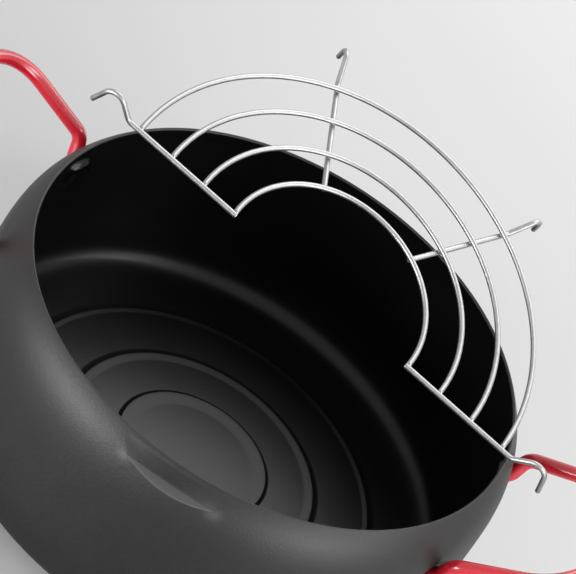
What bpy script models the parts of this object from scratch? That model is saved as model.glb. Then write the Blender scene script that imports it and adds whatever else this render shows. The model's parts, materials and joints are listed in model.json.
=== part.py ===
"""Tempura fryer pot: a pressed iron pot with a pinched pouring lip, two welded rod
handles and a half-round wire drain rack that hooks over the rim.

Run with: blender --background --python part.py
Units are metres. The origin is the middle of the base on the surface that the pot
stands on. +X runs through the two handles, -Y is the pouring side and +Z is up.
"""
import math

import bmesh
import bpy
from mathutils import Matrix, Quaternion, Vector

# Pot shell: driving dimensions of the outer surface.
rim_radius = 0.1200
pot_height = 0.0965
sheet = 0.0014
belly_radius = 0.1297
belly_height = 0.0465
base_radius = 0.1050
shoulder_power = 4.4
corner_power = 4.5
rim_round = 0.00045
rim_round_limit = math.radians(60)
columns = 72
shoulder_rows = 4
corner_rows = 8

# Steps pressed in the base, from the wall to the middle: how far the crest of each one
# lies inside the base's edge, the run that climbs to it, and the low bead behind it.
step_insets = [0.0140, 0.0430, 0.0680]
step_runs = [0.0030, 0.0028, 0.0016]
bead_widths = [0.0024, 0.0050, 0.0072]
step_lift = 0.0008
bead_lift = 0.00040

# Pouring lip, pinched in the rim on the -Y side.
spout_angle = math.radians(-86.2)
spout_rim_half = 0.0310
spout_ledge_half = 0.0210
spout_depth = 0.0085
spout_sag = 0.0015
spout_ledge_run = 0.0021
spout_flare = 0.0012
spout_lean = 0.0014
spout_cuts = 3

# Handles: one bent rod each, welded in two dimples in the shoulder.
handle_rod = 0.0070
handle_root_half = 0.0431
handle_root_drop = 0.0312
handle_knee_gap = 0.0046
handle_knee_half = 0.0474
handle_knee_drop = 0.0166
handle_room = 0.0453
handle_grip_half = 0.0405
handle_grip_rise = 0.0092
handle_knee_bend = 0.0080
handle_grip_bend = 0.0295
handle_root_stub = 0.0060
handle_root_bend = 0.0060
handle_root_tilt = math.radians(48)
handle_bend_steps = 5
handle_facets = 3
dimple_depth = 0.0038
dimple_half_width = 0.0088
dimple_half_height = 0.0118
dimple_flat_share = 0.40
dimple_cuts = 3

# Drain rack: round wire, four arcs butted on two end bars and laid over two spokes. The
# bars lie a little behind the middle of the arcs, so the arcs are just over half rings.
wire = 0.0026
rack_inset = 0.0117
rack_arc_pitch = 0.0188
rack_set_back = 0.0034
rack_arcs = 4
rack_arc_step = 0.0095
rack_arc_least_steps = 12
wire_facets = 2
spoke_angles = [math.radians(61.1), math.radians(115.6)]
spoke_offsets = [0.0026, 0.0052]
spoke_short = 0.0006

# Hooks: how far past the rim each one starts to climb and how far out its tip is, its
# slopes up and down, its tip's drop below the arcs, and its two bends.
bar_hook = (0.0025, 0.0216, math.radians(46), math.radians(74), 0.0050, 0.0050, 0.0056)
spoke_hook = (0.0006, 0.0188, math.radians(25), math.radians(88), 0.0066, 0.0050, 0.0046)
hook_steps = 5

# Where the rack lies: level over the mouth and turned a little, then tipped up about
# the point where the +X end bar crosses the rim.
rack_turn = math.radians(10.2)
rack_shift = 0.0070
rack_tip = math.radians(18)
rack_tip_axis = Vector((0.667, 0.543, -0.511)).normalized()

# The most of a straight that the bends at its two ends may use up.
bend_fit_share = 0.96

# Gap between separate pieces that touch on the real pot.
seat_gap = 0.0003
rim_gap = 0.0003
merge_distance = 0.00001

# Plain colours, roughness and metalness of the three finishes.
iron_finish = ((0.045, 0.045, 0.047), 0.45, 0.6)
red_finish = ((0.52, 0.012, 0.022), 0.25, 0.0)
wire_finish = ((0.78, 0.78, 0.78), 0.18, 1.0)


def clear_scene():
    for obj in list(bpy.data.objects):
        bpy.data.objects.remove(obj, do_unlink=True)


def make_material(name, colour, roughness, metallic):
    material = bpy.data.materials.new(name)
    material.use_nodes = True
    shader = material.node_tree.nodes["Principled BSDF"]
    shader.inputs["Base Color"].default_value = (*colour, 1.0)
    shader.inputs["Roughness"].default_value = roughness
    shader.inputs["Metallic"].default_value = metallic
    return material


def smooth_step(x):
    x = min(max(x, 0.0), 1.0)
    return x * x * (3 - 2 * x)


def shoulder_radius(height):
    """Outer radius of the wall from its widest level up to the rim."""
    share = (height - belly_height) / (pot_height - belly_height)
    return belly_radius - (belly_radius - rim_radius) * max(share, 0.0) ** shoulder_power


def wall_profile():
    """Outer surface from the rim down to the middle of the base, as (radius, height)."""
    foot = pot_height - spout_depth
    low = foot - spout_sag - spout_ledge_run
    heights = [pot_height, (pot_height + foot) / 2, foot]
    heights += [low + (belly_height - low) * row / shoulder_rows for row in range(shoulder_rows)]
    points = [(shoulder_radius(height), height) for height in heights]
    for row in range(corner_rows + 1):
        angle = math.pi / 2 * row / corner_rows
        out = math.cos(angle) if row < corner_rows else 0.0
        radius = base_radius + (belly_radius - base_radius) * out ** (2 / corner_power)
        height = belly_height * (1 - math.sin(angle) ** (2 / corner_power))
        points.append((radius, height))
    level = 0.0
    for inset, run, bead in zip(step_insets, step_runs, bead_widths):
        crest = base_radius - inset
        points.append((crest + run, level))
        level += step_lift
        points.append((crest, level + bead_lift))
        points.append((crest - bead, level))
    points.append((0.0, level))
    return points


def spout_inset(angle, height):
    """How far the pinched lip lies inside the plain shoulder: a lip that stands nearly
    upright, with a crescent ledge at its foot that runs out to the shoulder."""
    drop = pot_height - height
    along = (angle - spout_angle) * rim_radius
    share = min(drop / spout_depth, 1.0)
    half = spout_rim_half + (spout_ledge_half - spout_rim_half) * share
    pinch = 1 - (along / half) ** 2
    if pinch <= 0:
        return 0.0
    foot = spout_depth + spout_sag * pinch
    low = foot + spout_ledge_run * pinch
    if drop <= foot:
        lip = rim_radius + spout_flare + spout_lean * drop / foot
        return pinch * (shoulder_radius(height) - lip)
    lip = rim_radius + spout_flare + spout_lean
    ledge = pinch * (shoulder_radius(pot_height - foot) - lip)
    return ledge * max((low - drop) / (low - foot), 0.0)


def dimple_centres():
    """Angle and height of each handle root."""
    height = pot_height - handle_root_drop
    turn = math.asin(handle_root_half / shoulder_radius(height))
    return [(side + sign * turn, height) for side in (0.0, math.pi) for sign in (1, -1)]


def dimple_inset(angle, height):
    """How far the pressed dimples lie inside the plain shoulder."""
    deepest = 0.0
    for centre_angle, centre_height in dimple_centres():
        turn = math.remainder(angle - centre_angle, 2 * math.pi)
        across = turn * shoulder_radius(centre_height)
        up = height - centre_height
        distance = math.hypot(across / dimple_half_width, up / dimple_half_height)
        ramp = smooth_step((1 - distance) / (1 - dimple_flat_share))
        deepest = max(deepest, dimple_depth * ramp)
    return deepest


def refine(bm, chosen, cuts):
    """Split the faces whose middles are chosen into a finer grid."""
    faces = [face for face in bm.faces if chosen(face.calc_center_median())]
    edges = {edge for face in faces for edge in face.edges}
    bmesh.ops.subdivide_edges(bm, edges=list(edges), cuts=cuts, use_grid_fill=True)


def polar(point):
    return math.atan2(point.y, point.x), point.z


def near_spout(point):
    angle, height = polar(point)
    along = abs(angle - spout_angle) * rim_radius
    low = pot_height - spout_depth - spout_sag - spout_ledge_run
    return along < spout_rim_half and height > low


def near_dimple(point):
    angle, height = polar(point)
    half_row = belly_height / corner_rows / 2
    for centre_angle, centre_height in dimple_centres():
        turn = math.remainder(angle - centre_angle, 2 * math.pi)
        across = turn * belly_radius / (dimple_half_width + half_row)
        up = (height - centre_height) / (dimple_half_height + half_row)
        if math.hypot(across, up) < 1:
            return True
    return False


def build_body(collection, material):
    profile = wall_profile()
    mesh = bpy.data.meshes.new("body_profile")
    edges = [(i, i + 1) for i in range(len(profile) - 1)]
    mesh.from_pydata([(radius, 0.0, height) for radius, height in profile], edges, [])
    turned = bpy.data.objects.new("body_profile", mesh)
    collection.objects.link(turned)
    screw = turned.modifiers.new("turn", "SCREW")
    screw.axis = "Z"
    screw.steps = columns
    screw.render_steps = columns
    screw.use_merge_vertices = True
    screw.merge_threshold = merge_distance
    bpy.context.view_layer.update()
    depsgraph = bpy.context.evaluated_depsgraph_get()
    shell = bpy.data.meshes.new_from_object(turned.evaluated_get(depsgraph))
    bpy.data.objects.remove(turned, do_unlink=True)

    bm = bmesh.new()
    bm.from_mesh(shell)
    bmesh.ops.remove_doubles(bm, verts=bm.verts, dist=merge_distance)
    refine(bm, near_spout, spout_cuts)
    refine(bm, near_dimple, dimple_cuts)
    for vert in bm.verts:
        angle, height = polar(vert.co)
        if height < belly_height:
            continue
        radius = shoulder_radius(height)
        radius -= max(spout_inset(angle, height), dimple_inset(angle, height))
        vert.co.x = radius * math.cos(angle)
        vert.co.y = radius * math.sin(angle)
    bmesh.ops.triangulate(bm, faces=[face for face in bm.faces if len(face.verts) > 4])
    bm.to_mesh(shell)
    bm.free()
    shell.name = "pot_body"
    shell.shade_smooth()
    body = bpy.data.objects.new("pot_body", shell)
    body.data.materials.clear()
    body.data.materials.append(material)
    collection.objects.link(body)

    solidify = body.modifiers.new("sheet", "SOLIDIFY")
    solidify.thickness = sheet
    solidify.offset = -1.0
    solidify.use_even_offset = True
    bevel = body.modifiers.new("rim_edge", "BEVEL")
    bevel.width = rim_round
    bevel.segments = 1
    bevel.limit_method = "ANGLE"
    bevel.angle_limit = rim_round_limit
    return body


def fillet(points, bends, steps):
    """Round the inner corners of a route: bends holds one radius for each. Where two
    bends don't fit on the straight between them, both get smaller."""
    inner = range(1, len(points) - 1)
    backs = {i: (points[i - 1] - points[i]).normalized() for i in inner}
    aheads = {i: (points[i + 1] - points[i]).normalized() for i in inner}
    halves = {i: backs[i].angle(aheads[i]) / 2 for i in inner}
    cuts = [0.0] + [bends[i - 1] / math.tan(halves[i]) for i in inner] + [0.0]
    fits = []
    for i in range(len(points) - 1):
        straight = (points[i + 1] - points[i]).length
        fits.append(min(bend_fit_share * straight / (cuts[i] + cuts[i + 1]), 1.0))
    route = [points[0]]
    for i in inner:
        cut = cuts[i] * min(fits[i - 1], fits[i])
        radius = cut * math.tan(halves[i])
        middle = (backs[i] + aheads[i]).normalized()
        centre = points[i] + middle * (radius / math.sin(halves[i]))
        start = points[i] + backs[i] * cut - centre
        end = points[i] + aheads[i] * cut - centre
        sweep = start.angle(end)
        for step in range(steps + 1):
            share = step / steps
            near = math.sin((1 - share) * sweep) / math.sin(sweep)
            far = math.sin(share * sweep) / math.sin(sweep)
            route.append(centre + start * near + end * far)
    route.append(points[-1])
    return route


def rod(name, route, diameter, resolution, collection, material):
    """A round wire or rod along a route, as a curve with filled ends."""
    curve = bpy.data.curves.new(name, "CURVE")
    curve.dimensions = "3D"
    curve.bevel_depth = diameter / 2
    curve.bevel_resolution = resolution
    curve.use_fill_caps = True
    spline = curve.splines.new("POLY")
    spline.points.add(len(route) - 1)
    for target, point in zip(spline.points, route):
        target.co = (*point, 1.0)
    spline.use_smooth = True
    curve.materials.append(material)
    obj = bpy.data.objects.new(name, curve)
    collection.objects.link(obj)
    return obj


def handle_route():
    """Centre line of the +X handle, from one dimple floor to the other."""
    height = pot_height - handle_root_drop
    radius = shoulder_radius(height)
    turn = math.asin(handle_root_half / radius)
    slope = (shoulder_radius(height + sheet) - shoulder_radius(height - sheet)) / (2 * sheet)
    outward = Vector((math.cos(turn), math.sin(turn), -slope)).normalized()
    upward = Vector((0.0, 0.0, 1.0))
    stub = outward * math.cos(handle_root_tilt) + upward * math.sin(handle_root_tilt)
    floor = radius - dimple_depth
    seat = Vector((floor * math.cos(turn), floor * math.sin(turn), height))
    seat += outward * (seat_gap + handle_rod / 2 * math.sin(handle_root_tilt))
    knee_height = pot_height - handle_knee_drop
    knee_radius = shoulder_radius(knee_height) + handle_knee_gap + handle_rod / 2
    knee_reach = math.sqrt(knee_radius * knee_radius - handle_knee_half * handle_knee_half)
    grip_reach = belly_radius + handle_room + handle_rod / 2
    leg = [
        seat,
        seat + stub * handle_root_stub,
        Vector((knee_reach, handle_knee_half, knee_height)),
        Vector((grip_reach, handle_grip_half, pot_height + handle_grip_rise)),
    ]
    other = [Vector((point.x, -point.y, point.z)) for point in reversed(leg)]
    bends = [handle_root_bend, handle_knee_bend, handle_grip_bend]
    return fillet(leg + other, bends + bends[::-1], handle_bend_steps)


def build_handles(collection, material):
    route = handle_route()
    right = rod("handle_right", route, handle_rod, handle_facets, collection, material)
    left = rod("handle_left", route, handle_rod, handle_facets, collection, material)
    left.rotation_euler.z = math.pi
    return [right, left]


def rim_run():
    """Distance along the +X end bar, from beside the arc centre to the rim's edge."""
    middle = rim_radius - sheet / 2
    ahead = rack_shift * math.cos(rack_turn)
    beside = rack_shift * math.sin(rack_turn) + rack_set_back
    return math.sqrt(middle * middle - beside * beside) - ahead


def hooked_route(angle, aside, start, drop, hook):
    """A straight wire outwards at an angle, its line passing aside of the arc centre, that
    ends in a hook. The hook climbs over the rim and falls to its tip."""
    foot_gap, reach, climb, fall, tip_drop, foot_bend, top_bend = hook
    rise = math.tan(climb)
    steep = math.tan(fall)
    foot = rim_run() + foot_gap
    tip = rim_run() + reach
    top = foot + (steep * (tip - foot) + drop - tip_drop) / (rise + steep)
    side = [
        (start, -drop),
        (foot, -drop),
        (top, rise * (top - foot) - drop),
        (tip, -tip_drop),
    ]
    along = Vector((math.cos(angle), math.sin(angle), 0.0))
    across = Vector((-math.sin(angle), math.cos(angle), 0.0))
    upward = Vector((0.0, 0.0, 1.0))
    points = [along * out + across * aside + upward * up for out, up in side]
    return fillet(points, [foot_bend, top_bend], hook_steps)


def build_rack(collection, material):
    """The rack in its own frame: arc centre at the origin, arcs towards +Y."""
    pieces = []
    inner = rim_radius - rack_inset - rack_arc_pitch * (rack_arcs - 1)
    for number in range(rack_arcs):
        radius = inner + rack_arc_pitch * number
        past = math.asin((rack_set_back - wire / 2 - seat_gap) / radius)
        count = max(int(math.pi * radius / rack_arc_step), rack_arc_least_steps)
        route = []
        for step in range(count + 1):
            angle = (math.pi + 2 * past) * step / count - past
            route.append(Vector((radius * math.cos(angle), radius * math.sin(angle), 0.0)))
        name = f"rack_arc_{number + 1}"
        pieces.append(rod(name, route, wire, wire_facets, collection, material))
    bar_start = inner - wire / 2
    for name, angle, aside in (
        ("rack_end_bar_right", 0.0, -rack_set_back),
        ("rack_end_bar_left", math.pi, rack_set_back),
    ):
        route = hooked_route(angle, aside, bar_start, 0.0, bar_hook)
        pieces.append(rod(name, route, wire, wire_facets, collection, material))
    under = wire + seat_gap
    names = ("rack_spoke_right", "rack_spoke_left")
    for name, angle, aside in zip(names, spoke_angles, spoke_offsets):
        start = math.sqrt(inner * inner - aside * aside) + spoke_short
        route = hooked_route(angle, aside, start, under, spoke_hook)
        pieces.append(rod(name, route, wire, wire_facets, collection, material))
    return pieces


def rim_crossing():
    """Where the +X end bar crosses the middle of the rim's edge, wire on top of it."""
    along = Vector((math.cos(rack_turn), math.sin(rack_turn), 0.0))
    back = Vector((math.sin(rack_turn), -math.cos(rack_turn), 0.0))
    height = pot_height + wire / 2 + rim_gap
    return Vector((rack_shift, 0.0, height)) + along * rim_run() + back * rack_set_back


def place_rack(pieces, collection):
    """Hang the rack on a pivot at the rim crossing, tipped up as it rests."""
    pivot = bpy.data.objects.new("rack_pivot", None)
    pivot.empty_display_size = wire
    collection.objects.link(pivot)
    crossing = rim_crossing()
    pivot.location = crossing
    pivot.rotation_mode = "QUATERNION"
    pivot.rotation_quaternion = Quaternion(rack_tip_axis, rack_tip)
    level = Matrix.Rotation(rack_turn, 4, "Z")
    seat = Matrix.Translation(Vector((rack_shift, 0.0, crossing.z)) - crossing) @ level
    for piece in pieces:
        piece.parent = pivot
        piece.matrix_local = seat
    return pivot


def main():
    clear_scene()
    pot = bpy.data.collections.new("tempura_fryer_pot")
    bpy.context.scene.collection.children.link(pot)
    iron = make_material("black_iron", *iron_finish)
    red = make_material("red_coating", *red_finish)
    steel = make_material("plated_wire", *wire_finish)
    build_body(pot, iron)
    build_handles(pot, red)
    place_rack(build_rack(pot, steel), pot)
    bpy.context.view_layer.update()


main()
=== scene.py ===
"""Looks of a tempura fryer pot: a black coated iron pot with a pinched pouring lip, two
red coated rod handles and a plated wire drain rack tipped up on its hooks.

Lengths are in metres. The middle of the pot's base is the origin, +X runs through the
two handles and -Y is the pouring side.
"""

import json
import math

import bmesh
import bpy
import numpy as np
from mathutils import Matrix, Quaternion, Vector


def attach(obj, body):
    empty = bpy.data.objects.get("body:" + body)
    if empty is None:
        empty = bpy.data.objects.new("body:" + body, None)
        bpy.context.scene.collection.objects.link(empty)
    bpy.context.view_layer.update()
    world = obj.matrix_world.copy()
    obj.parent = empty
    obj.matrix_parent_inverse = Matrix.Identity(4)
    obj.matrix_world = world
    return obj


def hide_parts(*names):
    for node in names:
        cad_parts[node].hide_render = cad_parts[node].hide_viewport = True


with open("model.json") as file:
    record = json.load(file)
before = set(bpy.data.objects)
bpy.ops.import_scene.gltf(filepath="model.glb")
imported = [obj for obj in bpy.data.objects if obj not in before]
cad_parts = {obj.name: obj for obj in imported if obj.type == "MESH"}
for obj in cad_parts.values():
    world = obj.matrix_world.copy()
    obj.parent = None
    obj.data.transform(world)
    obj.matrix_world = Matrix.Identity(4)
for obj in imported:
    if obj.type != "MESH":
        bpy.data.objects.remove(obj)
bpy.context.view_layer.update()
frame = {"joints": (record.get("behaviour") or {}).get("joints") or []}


# The pot. It is drawn from one sheet of iron 1.4 mm thick: a belly that curves in to the
# rim, a base with three pressed steps, a pouring lip pinched in the near side, and four
# dimples in the shoulder for the feet of the handles. It is coated black inside and out.
rim_radius = 0.1200
pot_height = 0.0965
sheet = 0.0014
belly_radius = 0.1297
belly_height = 0.0465
base_radius = 0.1050
shoulder_power = 4.4
corner_power = 4.5

# The steps in the base, from the outermost in: each climbs to a low bead.
step_radii = (0.0910, 0.0620, 0.0370)
step_runs = (0.0042, 0.0036, 0.0023)
step_lift = 0.0008
step_steepness = 1.7
bead_widths = (0.0024, 0.0042, 0.0071)
bead_lift = 0.00040
bead_steepness = 1.2

# The pouring lip: its halves across, measured at the rim and at the ledge under it.
lip_angle = math.radians(-86.2)
lip_rim_half = 0.0310
lip_ledge_half = 0.0210
lip_depth = 0.0085
lip_sag = 0.0015
ledge_run = 0.0021
lip_flare = 0.0012
lip_lean = 0.0014
lip_rim_softness = 0.10
lip_ledge_softness = 0.015
ledge_round = 0.14
ledge_fade_end = -0.9
ledge_fade_run = 0.6

# The sheet swells a little at the ends of the ledge, where a painted highlight lightens the coat.
lip_corner_swell = 0.00045
lip_corner_drop = 0.0014
lip_corner_width = 0.0032
lip_corner_height = 0.0030
# Where the painted highlight on the ledge begins and ends, and how much the swell adds to it.
highlight_upper_edge = 0.00005
highlight_lower_edge = 0.00030
highlight_least_pinch = 0.03
highlight_by_swell = 1200

# The dimples, two for each handle: half the distance between the two, and their drop
# under the rim, then their own shape, which is longer downwards than upwards.
foot_half = 0.0431
foot_drop = 0.0312
dimple_depth = 0.0038
dimple_half_width = 0.0098
dimple_half_height = 0.0118
dimple_half_top = 0.0084
dimple_squareness = 2.5
dimple_flat = 0.40
dimple_flat_top = 0.54
dimple_flat_climb = 1.5

# The cut edge of the rim, slightly rounded.
rim_points = 11
rim_squareness = 0.62
rim_height = 0.62

# How closely the mesh follows the sheet, from the base up to the rim.
plate_rings = (0.0040, 0.0100, 0.0170, 0.0240, 0.0455, 0.0510, 0.0690, 0.0745, 0.0800, 0.0990)
bead_points = 14
step_points = 22
corner_points = 44
wall_points = (34, 9, 9, 13)
least_ledge = 0.0006
close_under_ledge = 0.0020
rim_room = 0.0004
normal_spread = 0.0016


def ease(x):
    """A soft ramp from 0 to 1."""
    x = np.clip(x, 0.0, 1.0)
    return x * x * (3 - 2 * x)


def shoulder_radius(height):
    """Radius of the wall from the belly up to the rim, without the lip and the dimples."""
    share = (height - belly_height) / (pot_height - belly_height)
    return belly_radius - (belly_radius - rim_radius) * np.maximum(share, 0.0) ** shoulder_power


def base_rise(radius):
    """Height of the pressed base: each step climbs, steeper and steeper, to the crest of a
    low bead, and the bead settles softly to the plate inside it."""
    height = np.zeros_like(radius)
    for step, run, bead in zip(step_radii, step_runs, bead_widths):
        climb = np.clip((step + run - radius) / run, 0.0, 1.0) ** step_steepness
        settle = 1 - (1 - np.clip((step - radius) / bead, 0.0, 1.0)) ** bead_steepness
        height += climb * (step_lift + bead_lift) - settle * bead_lift
    return height


def lip_pinch(angle, share):
    """How fully the lip is pinched, from 1 in its middle to 0 at its ends."""
    half = lip_rim_half + (lip_ledge_half - lip_rim_half) * share
    plain = 1 - ((angle - lip_angle) * rim_radius / half) ** 2
    soft = lip_rim_softness + (lip_ledge_softness - lip_rim_softness) * share
    return (plain + np.sqrt(plain ** 2 + soft ** 2)) / 2


def ledge_drops(pinch):
    """How far under the rim the ledge of the lip begins, and how far under it it ends."""
    begin = lip_depth + lip_sag * pinch
    return begin, begin + ledge_run * pinch


def lip_inset(angle, height):
    """How far the sheet is pressed in: an upright face at the rim, and a ledge under it."""
    drop = pot_height - height
    pinch = lip_pinch(angle, np.minimum(drop / lip_depth, 1.0))
    begin, end = ledge_drops(pinch)
    reach = np.minimum(drop / begin, 1.0)
    upright = pinch * (shoulder_radius(height) - rim_radius - lip_flare - lip_lean * reach)
    ledge = pinch * (shoulder_radius(pot_height - begin) - rim_radius - lip_flare - lip_lean)
    fade = np.clip((end - drop) / np.maximum(end - begin, 1e-7), -2.0, 1.0)
    rounded = np.minimum((fade + np.sqrt(fade ** 2 + ledge_round ** 2)) / 2, 1.0)
    rounded *= np.clip((fade - ledge_fade_end) / ledge_fade_run, 0.0, 1.0)
    return np.where(drop <= begin, upright, ledge * rounded)


def lip_corners(angle, height):
    """How far the sheet is pushed out where each end of the ledge runs out."""
    up = height - (pot_height - lip_depth - lip_corner_drop)
    swell = np.zeros_like(height)
    for side in (1, -1):
        across = (angle - lip_angle) * rim_radius - side * lip_ledge_half
        swell += np.exp(-(across / lip_corner_width) ** 2 - (up / lip_corner_height) ** 2)
    return lip_corner_swell * swell


def lip_painted_highlight(angle, height):
    """How much painted highlight lightens the coat: 1 along the ledge, and less at its two ends.
    """
    pinch = lip_pinch(angle, 1.0)
    begin, end = ledge_drops(pinch)
    drop = pot_height - height
    on_ledge = (drop > begin + highlight_upper_edge) & (drop < end + highlight_lower_edge)
    on_ledge &= pinch > highlight_least_pinch
    return np.where(on_ledge, 1.0, 0.0) + highlight_by_swell * lip_corners(angle, height)


def dimple_inset(angle, height):
    """How far the sheet is pressed in by the four dimples, which have nearly flat floors."""
    deepest = np.zeros_like(height)
    centre_height = pot_height - foot_drop
    reach = float(shoulder_radius(np.float64(centre_height)))
    turn = math.asin(foot_half / reach)
    for side in (0.0, math.pi):
        for sign in (1, -1):
            across = np.angle(np.exp(1j * (angle - side - sign * turn))) * reach
            up = height - centre_height
            half_height = np.where(up > 0, dimple_half_top, dimple_half_height)
            wide = (abs(across) / dimple_half_width) ** dimple_squareness
            tall = (abs(up) / half_height) ** dimple_squareness
            distance = (wide + tall) ** (1 / dimple_squareness)
            upper = ease(dimple_flat_climb * up / half_height)
            flat = dimple_flat + (dimple_flat_top - dimple_flat) * upper
            ramp = ease((1 - distance) / (1 - flat))
            deepest = np.maximum(deepest, dimple_depth * ramp)
    return deepest


def pot_columns():
    """Angles of the columns, closer together at the lip and at the dimples."""
    lip_half = 0.27
    dimple_half = 0.085
    plain_step = math.radians(1.6)
    smallest_step = math.radians(0.7)
    close_steps = [(lip_angle, lip_half, math.radians(0.5))]
    turn = math.asin(foot_half / belly_radius)
    for side in (0.0, math.pi):
        for sign in (1, -1):
            close_steps.append((side + sign * turn, dimple_half, math.radians(0.6)))
    angles = []
    angle = -math.pi
    while angle < math.pi - smallest_step:
        angles.append(angle)
        step = plain_step
        for centre, half, close in close_steps:
            if abs(math.remainder(angle - centre, math.tau)) < half:
                step = close
        angle += step
    return np.array(angles)


def pot_rings(angles):
    """Radii and heights of the outer rings, from the middle of the base up to the rim."""
    flat = list(plate_rings)
    for step, run, bead in zip(step_radii, step_runs, bead_widths):
        bead_from = step - bead - 0.0014
        bead_to = step - 0.0006
        climb_from = step - 0.0004
        climb_to = step + run + 0.0006
        flat += list(np.linspace(bead_from, bead_to, bead_points))
        flat += list(np.linspace(climb_from, climb_to, step_points))
    flat = np.array(sorted(flat))
    turn = np.linspace(0.0, math.pi / 2, 4000)
    corner_r = base_radius + (belly_radius - base_radius) * np.cos(turn) ** (2 / corner_power)
    corner_z = belly_height * (1 - np.sin(turn) ** (2 / corner_power))
    corner_r, corner_z = corner_r[::-1], corner_z[::-1]
    run = np.concatenate([[0.0], np.cumsum(np.hypot(np.diff(corner_r), np.diff(corner_z)))])
    stops = np.linspace(0.0, run[-1], corner_points)
    corner_r, corner_z = np.interp(stops, run, corner_r), np.interp(stops, run, corner_z)
    radii = [np.full_like(angles, r) for r in np.concatenate([flat, corner_r])]
    heights = [np.full_like(angles, z) for z in np.concatenate([base_rise(flat), corner_z])]

    pinch = lip_pinch(angles, 1.0)
    foot = pot_height - lip_depth - lip_sag * pinch
    low = foot - np.maximum(ledge_run * pinch, least_ledge)
    marks = (belly_height, low - close_under_ledge, low, foot, pot_height - rim_room)
    for start, stop, count in zip(marks, marks[1:], wall_points):
        for share in np.linspace(0, 1, count)[1:]:
            level = start + (stop - start) * share
            inset = np.maximum(lip_inset(angles, level), dimple_inset(angles, level))
            radii.append(shoulder_radius(level) - inset + lip_corners(angles, level))
            heights.append(level)
    return np.array(radii), np.array(heights)


def ring_normals(points):
    """Outward directions of the rings, evened out over a millimetre or so of the sheet."""
    up = np.gradient(points, axis=0)
    along = np.roll(points, -1, axis=1) - np.roll(points, 1, axis=1)
    normals = np.cross(along, up)
    normals /= np.linalg.norm(normals, axis=2, keepdims=True)
    run = np.linalg.norm(np.diff(points[:, 0], axis=0), axis=1)
    place = np.concatenate([[0.0], np.cumsum(run)])
    weight = np.exp(-((place[:, None] - place[None]) / normal_spread) ** 2)
    weight *= np.gradient(place)[None]
    weight /= weight.sum(axis=1, keepdims=True)
    normals = np.einsum("ij,jkc->ikc", weight, normals)
    return normals / np.linalg.norm(normals, axis=2, keepdims=True)


def build_pot():
    """The closed shell: outer rings, the rounded edge of the rim, and the inner rings."""
    angles = pot_columns()
    radii, heights = pot_rings(angles)
    outer = np.stack([radii * np.cos(angles), radii * np.sin(angles), heights], axis=2)
    normals = ring_normals(outer)
    inner = outer - sheet * normals
    middle = (outer[-1] + inner[-1]) / 2
    ahead = np.cross(normals[-1], np.stack([-np.sin(angles), np.cos(angles), 0 * angles], axis=1))
    ahead *= np.sign(ahead[:, 2:3])
    edge = []
    for share in np.linspace(0.0, math.pi, rim_points)[1:-1]:
        across = math.copysign(abs(math.cos(share)) ** rim_squareness, math.cos(share))
        over = rim_height * math.sin(share) ** rim_squareness
        edge.append(middle + sheet / 2 * (across * normals[-1] + over * ahead))
    rings = np.concatenate([outer, np.array(edge), inner[::-1]])
    count = len(angles)
    verts = [(0.0, 0.0, float(base_rise(np.zeros(1))[0]))]
    verts += [tuple(point) for point in rings.reshape(-1, 3)]
    verts.append((0.0, 0.0, verts[0][2] + sheet))
    faces = []
    for column in range(count):
        ahead_column = (column + 1) % count
        faces.append((0, 1 + ahead_column, 1 + column))
        last = 1 + (len(rings) - 1) * count
        faces.append((last + column, last + ahead_column, len(verts) - 1))
        for ring in range(len(rings) - 1):
            low, high = 1 + ring * count, 1 + (ring + 1) * count
            faces.append((low + column, low + ahead_column, high + ahead_column, high + column))
    mesh = bpy.data.meshes.new("pot_shell")
    mesh.from_pydata(verts, [], faces)
    # Painted highlight along the ledge of the lip, stored on the outer points only.
    painted_highlight = np.zeros(len(verts))
    painted_highlight[1:1 + len(outer) * count] = np.minimum(lip_painted_highlight(angles[None], heights), 1.0).ravel()
    pressed = np.zeros(len(verts))
    depth = np.array([dimple_inset(angles, ring) for ring in heights]) / dimple_depth
    pressed[-1 - len(inner) * count:-1] = depth[::-1].ravel()
    for name, values in (("painted_highlight", painted_highlight), ("pressed", pressed)):
        mesh.attributes.new(name, "FLOAT", "POINT").data.foreach_set("value", values)
    last_outside = len(outer) + len(edge) - 2
    for face in mesh.polygons:
        ring = (min(face.vertices) - 1) // count
        face.material_index = 1 if ring > last_outside else 0
        face.use_smooth = True
    shell = bpy.data.objects.new("pot_shell", mesh)
    bpy.context.scene.collection.objects.link(shell)
    return shell


class Shade:
    """One socket of a finish. Sums on it add Math nodes, and node() adds any other node."""

    def __init__(self, tree, socket=None):
        self.tree = tree
        self.socket = socket

    def node(self, kind, settings=None, sockets=None, output=0):
        made = self.tree.nodes.new(kind)
        for name, value in (settings or {}).items():
            setattr(made, name, value)
        for place, value in (sockets or {}).items():
            if isinstance(value, Shade):
                self.tree.links.new(value.socket, made.inputs[place])
            else:
                made.inputs[place].default_value = value
        return Shade(self.tree, made.outputs[output] if made.outputs else None)

    def sum(self, operation, first, second):
        return self.node("ShaderNodeMath", {"operation": operation}, {0: first, 1: second})

    def __add__(self, other):
        return self.sum("ADD", self, other)

    def __radd__(self, other):
        return self.sum("ADD", other, self)

    def __sub__(self, other):
        return self.sum("SUBTRACT", self, other)

    def __rsub__(self, other):
        return self.sum("SUBTRACT", other, self)

    def __mul__(self, other):
        return self.sum("MULTIPLY", self, other)

    def __rmul__(self, other):
        return self.sum("MULTIPLY", other, self)


def new_finish(name):
    material = bpy.data.materials.new(name)
    material.use_nodes = True
    material.node_tree.nodes.clear()
    return material, Shade(material.node_tree)


def grain(finish, scale, detail, roughness):
    """Noise fixed to the piece, about 0 to 1, with features of 1/scale metres."""
    place = finish.node("ShaderNodeTexCoord", output=3)
    sockets = {"Vector": place, "Scale": scale, "Detail": detail, "Roughness": roughness}
    return finish.node("ShaderNodeTexNoise", {"noise_dimensions": "3D"}, sockets)


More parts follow.
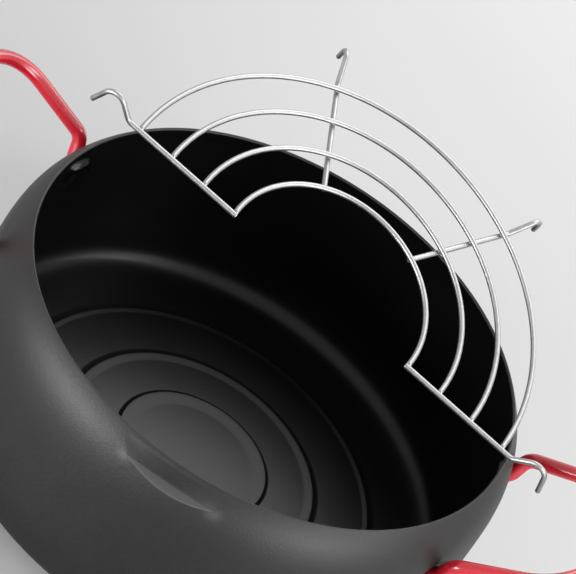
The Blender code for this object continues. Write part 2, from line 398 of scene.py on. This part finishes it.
def blend_colour(finish, factor, first, second):
    settings = {"data_type": "RGBA", "blend_type": "MIX"}
    return finish.node("ShaderNodeMix", settings, {0: factor, 6: first, 7: second}, output=2)


def close_finish(finish, colour, roughness, bump, evenly):
    """The shader of a finish: what varies over the surface, and what is the same all over."""
    sockets = {"Base Color": colour, "Roughness": roughness, "Normal": bump, **evenly}
    shader = finish.node("ShaderNodeBsdfPrincipled", None, sockets)
    finish.node("ShaderNodeOutputMaterial", None, {"Surface": shader})


def bump_from(finish, height, strength, depth):
    """A bump as deep as the given metres, where the height goes from 0 to 1."""
    sockets = {"Strength": strength, "Distance": depth, "Height": height}
    return finish.node("ShaderNodeBump", None, sockets)


# Outside: a matt black coat with a fine grain, and a painted highlight of lighter grey along the
# ledge of the lip.
outer_coat, finish = new_finish("outer_black_coat")
speck = grain(finish, 1500.0, 2.0, 0.6)
cloud = grain(finish, 55.0, 3.0, 0.55)
fine = grain(finish, 620.0, 2.0, 0.6)
# Painted highlight: the ledge mask blends the coat toward a lighter grey.
painted_highlight = finish.node("ShaderNodeAttribute", {"attribute_name": "painted_highlight"}, output=2)
deep_black = (0.0016, 0.0016, 0.0017, 1)
greyed_black = (0.0086, 0.0086, 0.0090, 1)
painted_highlight_grey = (0.0620, 0.0620, 0.0630, 1)
coat_black = blend_colour(finish, cloud * 0.3 + fine * 0.7, deep_black, greyed_black)
close_finish(
    finish,
    blend_colour(finish, painted_highlight * (0.9 + fine * 0.2), coat_black, painted_highlight_grey),
    0.44 + cloud * 0.06 + speck * 0.06,
    bump_from(finish, speck * 0.6 + fine * 0.4, 0.75, 0.00020),
    {"Specular IOR Level": 0.40},
)

# Inside: a smoother black coat, glossiest where the dimples stretch the sheet.
inner_coat, finish = new_finish("inner_black_coat")
speck = grain(finish, 1800.0, 2.0, 0.6)
cloud = grain(finish, 40.0, 3.0, 0.5)
pressed = finish.node("ShaderNodeAttribute", {"attribute_name": "pressed"}, output=2)
soft_black = (0.0030, 0.0030, 0.0032, 1)
close_finish(
    finish,
    blend_colour(finish, cloud, deep_black, soft_black),
    0.31 + cloud * 0.05 + speck * 0.04 - pressed * 0.16,
    bump_from(finish, speck, 0.14, 0.00010),
    {"Specular IOR Level": 0.25},
)

pot_shell = build_pot()
pot_shell.data.materials.append(outer_coat)
pot_shell.data.materials.append(inner_coat)
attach(pot_shell, "pot")
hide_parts("pot_body")


# The handles. Each is one 7 mm steel rod bent to an open grip, welded by its two feet in
# the dimples under the shoulder, and coated glossy red.
handle_rod = 0.0070
knee_gap = 0.0046
knee_half = 0.0474
knee_drop = 0.0166
grip_room = 0.0453
grip_half = 0.0405
grip_rise = 0.0092
knee_bend = 0.0080
grip_bend = 0.0295
foot_stub = 0.0060
foot_bend = 0.0060
foot_tilt = math.radians(48)
foot_sink = 0.0006
weld_swell = 0.12
weld_run = 0.0042
piece_gap = 0.0003
rod_sides = 32
rod_spacing = 0.0015
rod_bend_points = 18


def bend_route(points, bends, steps):
    """A route with its inner corners rounded to the given radii, as closely spaced points."""
    inner = range(1, len(points) - 1)
    backs = {i: (points[i - 1] - points[i]).normalized() for i in inner}
    aheads = {i: (points[i + 1] - points[i]).normalized() for i in inner}
    halves = {i: backs[i].angle(aheads[i]) / 2 for i in inner}
    cuts = [0.0] + [bends[i - 1] / math.tan(halves[i]) for i in inner] + [0.0]
    most_cut = 0.96
    fits = []
    for i in range(len(points) - 1):
        straight = (points[i + 1] - points[i]).length
        fits.append(min(most_cut * straight / (cuts[i] + cuts[i + 1]), 1.0))
    route = [points[0]]
    for i in inner:
        cut = cuts[i] * min(fits[i - 1], fits[i])
        radius = cut * math.tan(halves[i])
        centre = points[i] + (backs[i] + aheads[i]).normalized() * (radius / math.sin(halves[i]))
        start = points[i] + backs[i] * cut - centre
        end = points[i] + aheads[i] * cut - centre
        sweep = start.angle(end)
        for step in range(steps + 1):
            share = step / steps
            near = math.sin((1 - share) * sweep) / math.sin(sweep)
            far = math.sin(share * sweep) / math.sin(sweep)
            route.append(centre + start * near + end * far)
    route.append(points[-1])
    return route


def space_out(route, spacing):
    """The same route with points no further apart than the spacing."""
    made = [route[0]]
    for here, there in zip(route, route[1:]):
        count = max(math.ceil((there - here).length / spacing), 1)
        made += [here.lerp(there, step / count) for step in range(1, count + 1)]
    return made


def sweep_rod(name, route, swell, sides, welds=()):
    """A round rod along a route. swell gives the radius at each point, from the lengths of
    rod behind and ahead of it. welds gives centre, half sizes and turn of each weld on it."""
    count = len(route)
    tangents = []
    for i in range(count):
        step = route[min(i + 1, count - 1)] - route[max(i - 1, 0)]
        tangents.append(step.normalized())
    side = tangents[0].orthogonal().normalized()
    behind = [0.0]
    for here, there in zip(route, route[1:]):
        behind.append(behind[-1] + (there - here).length)
    shape = bmesh.new()
    rings = []
    for i, point in enumerate(route):
        if i:
            side = tangents[i - 1].rotation_difference(tangents[i]) @ side
            side = (side - tangents[i] * side.dot(tangents[i])).normalized()
        up = tangents[i].cross(side)
        radius = swell(behind[i], behind[-1] - behind[i])
        ring = []
        for step in range(sides):
            turn = math.tau * step / sides
            out = side * math.cos(turn) + up * math.sin(turn)
            ring.append(shape.verts.new(point + out * radius))
        rings.append(ring)
    for low, high in zip(rings, rings[1:]):
        for step in range(sides):
            beside = (step + 1) % sides
            shape.faces.new((low[step], low[beside], high[beside], high[step]))
    shape.faces.new(rings[0][::-1])
    shape.faces.new(rings[-1])
    for centre, half, turn in welds:
        place = Matrix.Translation(centre) @ turn.to_4x4() @ Matrix.Diagonal((*half, 1.0))
        bmesh.ops.create_icosphere(shape, subdivisions=3, radius=1.0, matrix=place)
    mesh = bpy.data.meshes.new(name)
    bmesh.ops.recalc_face_normals(shape, faces=shape.faces)
    shape.to_mesh(mesh)
    shape.free()
    # Only the two cut ends, with more than four corners, stay flat.
    for face in mesh.polygons:
        face.use_smooth = len(face.vertices) < 5
    made = bpy.data.objects.new(name, mesh)
    bpy.context.scene.collection.objects.link(made)
    return made


def handle_route():
    """Middle line of the right handle's rod, from the far foot round the grip to the near."""
    height = pot_height - foot_drop
    radius = float(shoulder_radius(np.float64(height)))
    turn = math.asin(foot_half / radius)
    above = float(shoulder_radius(np.float64(height + sheet)))
    below = float(shoulder_radius(np.float64(height - sheet)))
    slope = (above - below) / (2 * sheet)
    outward = Vector((math.cos(turn), math.sin(turn), -slope)).normalized()
    upward = Vector((0.0, 0.0, 1.0))
    stub = outward * math.cos(foot_tilt) + upward * math.sin(foot_tilt)
    floor = radius - dimple_depth
    seat = Vector((floor * math.cos(turn), floor * math.sin(turn), height))
    seat += outward * (piece_gap + handle_rod / 2 * math.sin(foot_tilt))
    knee_height = pot_height - knee_drop
    knee_radius = float(shoulder_radius(np.float64(knee_height))) + knee_gap + handle_rod / 2
    knee_reach = math.sqrt(knee_radius ** 2 - knee_half ** 2)
    grip_reach = belly_radius + grip_room + handle_rod / 2
    leg = [
        seat - stub * foot_sink,
        seat + stub * foot_stub,
        Vector((knee_reach, knee_half, knee_height)),
        Vector((grip_reach, grip_half, pot_height + grip_rise)),
    ]
    other = [Vector((point.x, -point.y, point.z)) for point in reversed(leg)]
    bends = [foot_bend, knee_bend, grip_bend]
    bent = bend_route(leg + other, bends + bends[::-1], rod_bend_points)
    return space_out(bent, rod_spacing)


def foot_swell(behind, ahead):
    """The weld makes each foot a little thicker where it meets the dimple."""
    near = min(behind, ahead)
    return handle_rod / 2 * (1 + weld_swell * max(1 - near / weld_run, 0.0) ** 2)


# A thick dipped coat: glossy, with a faint ripple and a slightly uneven red.
red_coat, finish = new_finish("red_handle_coat")
ripple = grain(finish, 260.0, 2.0, 0.5)
speck = grain(finish, 1600.0, 2.0, 0.5)
cloud = grain(finish, 70.0, 2.0, 0.5)
deep_red = (0.455, 0.0040, 0.0150, 1)
bright_red = (0.525, 0.0070, 0.0220, 1)
close_finish(
    finish,
    blend_colour(finish, cloud, deep_red, bright_red),
    0.22 + ripple * 0.06 + speck * 0.03,
    bump_from(finish, ripple * 0.8 + speck * 0.2, 0.10, 0.00015),
    {"Specular IOR Level": 0.5, "Coat Weight": 0.50, "Coat Roughness": 0.07},
)

for name, turn in (("handle_right", 0.0), ("handle_left", math.pi)):
    around = Matrix.Rotation(turn, 3, "Z")
    route = [around @ point for point in handle_route()]
    handle = sweep_rod(name + "_rod", route, foot_swell, rod_sides)
    handle.data.materials.append(red_coat)
    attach(handle, "pot")
    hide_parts(name)


# The drain rack. Four half rings of 2.6 mm plated wire are butt welded to two end bars and
# lie on two spokes, spot welded at each crossing. Bars and spokes end in hooks that sit
# over the rim; here the rack is tipped up on the rim at the right end bar.
wire = 0.0026
ring_inset = 0.0117
ring_pitch = 0.0188
ring_count = 4
bar_set_back = 0.0034
spoke_turns = (math.radians(61.1), math.radians(115.6))
spoke_asides = (0.0026, 0.0052)
spoke_short = 0.0006
ring_end_short = 0.0004
butt_weld = (0.00150, 0.00145, 0.00122)
spot_weld = (0.00115, 0.00115, 0.00085)
burr_run = 0.0004
burr_share = 0.20
wire_sides = 18
wire_spacing = 0.0012
wire_bend_points = 12
ring_spacing = 0.0018

# Each hook: its foot and its tip, past the rim; climb and fall; depth of the tip under the
# rings; radii of the foot bend and the top bend.
bar_hook = (0.0025, 0.0216, math.radians(46), math.radians(74), 0.0050, 0.0050, 0.0056)
spoke_hook = (0.0006, 0.0188, math.radians(25), math.radians(88), 0.0066, 0.0050, 0.0046)

# How the rack is turned and shifted over the mouth, and how far it is then tipped up.
rack_turn = math.radians(10.2)
rack_shift = 0.0070
rack_tip = math.radians(18)

hinge = frame["joints"][0]
pivot = Vector(hinge["pos_m"])
tipped = Quaternion(Vector(hinge["axis"]).normalized(), rack_tip).to_matrix().to_4x4()
level = Matrix.Translation((rack_shift, 0.0, pivot.z)) @ Matrix.Rotation(rack_turn, 4, "Z")
rack_place = Matrix.Translation(pivot) @ tipped @ Matrix.Translation(-pivot) @ level


def rim_run():
    """Distance along the right end bar from beside the rings' centre to the rim."""
    middle = rim_radius - sheet / 2
    ahead = rack_shift * math.cos(rack_turn)
    beside = rack_shift * math.sin(rack_turn) + bar_set_back
    return math.sqrt(middle ** 2 - beside ** 2) - ahead


def hooked_route(angle, aside, start, drop, hook):
    """A straight wire at an angle, passing aside of the rings' centre, and its end hook."""
    foot_gap, reach, climb, fall, tip_drop, foot_bend, top_bend = hook
    rise = math.tan(climb)
    steep = math.tan(fall)
    foot = rim_run() + foot_gap
    tip = rim_run() + reach
    top = foot + (steep * (tip - foot) + drop - tip_drop) / (rise + steep)
    side = ((start, -drop), (foot, -drop), (top, rise * (top - foot) - drop), (tip, -tip_drop))
    along = Vector((math.cos(angle), math.sin(angle), 0.0))
    across = Vector((-math.sin(angle), math.cos(angle), 0.0))
    points = [along * out + across * aside + Vector((0, 0, up)) for out, up in side]
    return space_out(bend_route(points, [foot_bend, top_bend], wire_bend_points), wire_spacing)


def cut_end(behind, ahead):
    """Wire of even thickness, with the burr taken off its two cut ends."""
    near = min(behind, ahead)
    return wire / 2 * (1 - burr_share + burr_share * min(near / burr_run, 1.0) ** 0.5)


def placed(points):
    """Points of the level rack, moved to where it leans on the rim."""
    return [rack_place @ point for point in points]


def rounded_ends(route):
    """Extra points close to the two ends, where the burr is taken off."""
    first = (route[1] - route[0]).normalized()
    last = (route[-2] - route[-1]).normalized()
    shares = (0.25, 0.50, 1.00)
    starts = [route[0] + first * (burr_run * share) for share in shares]
    ends = [route[-1] + last * (burr_run * share) for share in shares[::-1]]
    return [route[0]] + starts + route[1:-1] + ends + [route[-1]]


# Bright plating over drawn wire: metal with cloudy, slightly rough patches.
plated_wire, finish = new_finish("bright_plated_wire")
speck = grain(finish, 1300.0, 2.0, 0.6)
cloud = grain(finish, 420.0, 2.0, 0.5)
dull_plating = (0.25, 0.25, 0.255, 1)
bright_plating = (0.36, 0.36, 0.36, 1)
close_finish(
    finish,
    blend_colour(finish, cloud, dull_plating, bright_plating),
    0.33 + cloud * 0.12 + speck * 0.08,
    bump_from(finish, speck * 0.6 + cloud * 0.4, 0.40, 0.00012),
    {"Metallic": 1.0},
)

turned = rack_place.to_3x3()
rack_pieces = []
inner_ring = rim_radius - ring_inset - ring_pitch * (ring_count - 1)
ring_radii = [inner_ring + ring_pitch * number for number in range(ring_count)]
for number, radius in enumerate(ring_radii):
    past = math.asin((bar_set_back - ring_end_short) / radius)
    count = int(math.pi * radius / ring_spacing)
    sweep = [(math.pi + 2 * past) * step / count - past for step in range(count + 1)]
    route = placed([Vector((radius * math.cos(a), radius * math.sin(a), 0.0)) for a in sweep])
    welds = []
    for end in (1, -1):
        spot = Vector((end * radius, ring_end_short - bar_set_back, 0.0))
        welds.append((rack_place @ spot, butt_weld, turned))
    name = f"rack_arc_{number + 1}"
    rod = sweep_rod(name + "_wire", route, lambda behind, ahead: wire / 2, wire_sides, welds)
    rack_pieces.append((rod, name))
bars = (("rack_end_bar_right", 0.0, -bar_set_back), ("rack_end_bar_left", math.pi, bar_set_back))
for name, angle, aside in bars:
    route = hooked_route(angle, aside, inner_ring - wire / 2, 0.0, bar_hook)
    rod = sweep_rod(name + "_wire", rounded_ends(placed(route)), cut_end, wire_sides)
    rack_pieces.append((rod, name))
under = wire + piece_gap
names = ("rack_spoke_right", "rack_spoke_left")
for name, angle, aside in zip(names, spoke_turns, spoke_asides):
    start = math.sqrt(inner_ring ** 2 - aside ** 2) + spoke_short
    route = hooked_route(angle, aside, start, under, spoke_hook)
    welds = []
    for radius in ring_radii:
        out = math.sqrt(radius ** 2 - aside ** 2) + (spoke_short if radius == inner_ring else 0)
        spot = Vector((out * math.cos(angle) - aside * math.sin(angle),
                       out * math.sin(angle) + aside * math.cos(angle), -under / 2))
        welds.append((rack_place @ spot, spot_weld, turned))
    rod = sweep_rod(name + "_wire", rounded_ends(placed(route)), cut_end, wire_sides, welds)
    rack_pieces.append((rod, name))
for piece, name in rack_pieces:
    piece.data.materials.append(plated_wire)
    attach(piece, "drain_rack")
    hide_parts(name)


# The studio. The pot stands on a plain pale floor that turns white away from the pot, with
# soft lights low on both near sides and far on the right, two small ones higher on the
# right and one high behind. The room beyond is white where the camera and the gloss see it.
floor_half = 6.0
floor_drop = 0.0002
plain_within = 0.25
white_beyond = 0.95
white = (1, 1, 1, 1)


def seen_rays(finish):
    """1 for what the camera sees, straight, in a gloss or through glass, and 0 for light."""
    rays = finish.node("ShaderNodeLightPath").socket.node.outputs
    camera_ray = Shade(finish.tree, rays["Is Camera Ray"])
    gloss_ray = Shade(finish.tree, rays["Is Glossy Ray"])
    through_ray = Shade(finish.tree, rays["Is Transmission Ray"])
    return camera_ray + gloss_ray + through_ray


floor_mesh = bpy.data.meshes.new("studio_floor")
corners = [(-floor_half, -floor_half, 0), (floor_half, -floor_half, 0),
           (floor_half, floor_half, 0), (-floor_half, floor_half, 0)]
floor_mesh.from_pydata(corners, [], [(0, 1, 2, 3)])
studio_floor = bpy.data.objects.new("studio_floor", floor_mesh)
bpy.context.scene.collection.objects.link(studio_floor)
studio_floor.location.z = -floor_drop
pale, finish = new_finish("pale_floor")
cloud = grain(finish, 3.0, 3.0, 0.5)
lit = finish.node("ShaderNodeBsdfPrincipled", None, {
    "Base Color": blend_colour(finish, cloud, (0.57, 0.57, 0.57, 1), (0.59, 0.59, 0.59, 1)),
    "Roughness": 0.75 + cloud * 0.05,
    "Specular IOR Level": 0.2,
})
plain_white = finish.node("ShaderNodeEmission", None, {"Color": white, "Strength": 1.0})
spot = finish.node("ShaderNodeTexCoord", output=3)
away = finish.node("ShaderNodeVectorMath", {"operation": "LENGTH"}, {0: spot}, output=1)
settings = {"interpolation_type": "SMOOTHERSTEP"}
sockets = {0: away, 1: plain_within, 2: white_beyond}
far_off = finish.node("ShaderNodeMapRange", settings, sockets)
whitened = far_off * seen_rays(finish)
swept = finish.node("ShaderNodeMixShader", None, {0: whitened, 1: lit, 2: plain_white})
finish.node("ShaderNodeOutputMaterial", None, {"Surface": swept})
floor_mesh.materials.append(pale)


def soft_light(name, azimuth, elevation, distance, width, height, level):
    """A soft light panel turned to the pot. Azimuth 0 is the near side, 90 is +X, and
    level is how bright the panel's own face is, where a white sheet in full light is 1."""
    a, e = math.radians(azimuth), math.radians(elevation)
    away = Vector((math.sin(a) * math.cos(e), -math.cos(a) * math.cos(e), math.sin(e)))
    lamp = bpy.data.lights.new(name, "AREA")
    lamp.shape = "RECTANGLE"
    lamp.size = width
    lamp.size_y = height
    lamp.energy = level * math.pi * width * height
    holder = bpy.data.objects.new(name, lamp)
    holder.location = Vector((0, 0, 0.05)) + away * distance
    holder.rotation_mode = "QUATERNION"
    holder.rotation_quaternion = away.to_track_quat("Z", "Y")
    holder.visible_camera = False
    bpy.context.scene.collection.objects.link(holder)


soft_light("left_soft_light", -39, 8, 1.0, 0.75, 0.26, 21.0)
soft_light("right_soft_light", 56, 7, 1.0, 0.46, 0.24, 19.0)
soft_light("far_right_soft_light", 150, 7, 1.0, 0.40, 0.22, 3.0)
soft_light("upper_right_soft_light", 77, 26, 1.0, 0.42, 0.34, 7.0)
soft_light("back_soft_light", 176, 49, 1.1, 0.90, 0.72, 4.6)
soft_light("high_right_soft_light", 98, 45, 1.0, 0.30, 0.18, 16.0)

world = bpy.data.worlds.new("studio_room")
bpy.context.scene.world = world
world.use_nodes = True
world.node_tree.nodes.clear()
room = Shade(world.node_tree)
shown = room.node("ShaderNodeBackground", None, {"Color": white, "Strength": 1.0})
fill = room.node("ShaderNodeBackground", None, {"Color": white, "Strength": 0.15})
mixed = room.node("ShaderNodeMixShader", None, {0: seen_rays(room), 1: fill, 2: shown})
room.node("ShaderNodeOutputWorld", None, {"Surface": mixed})


# The camera stands in front and above, a little to the right, and is rolled as the
# picture is.
camera = bpy.data.cameras.new("camera")
camera.lens = 250
camera.sensor_width = 36
camera.clip_start = 0.05
camera.clip_end = 40
viewer = bpy.data.objects.new("camera", camera)
viewer.matrix_world = Matrix((
    (0.808922, -0.584784, 0.0606048, 0.1030559),
    (0.3960469, 0.4658386, -0.7912909, -1.4131621),
    (0.4345022, 0.6640949, 0.608429, 1.2019379),
    (0, 0, 0, 1),
))
bpy.context.scene.collection.objects.link(viewer)
bpy.context.scene.camera = viewer
bpy.context.scene.view_settings.view_transform = "Standard"
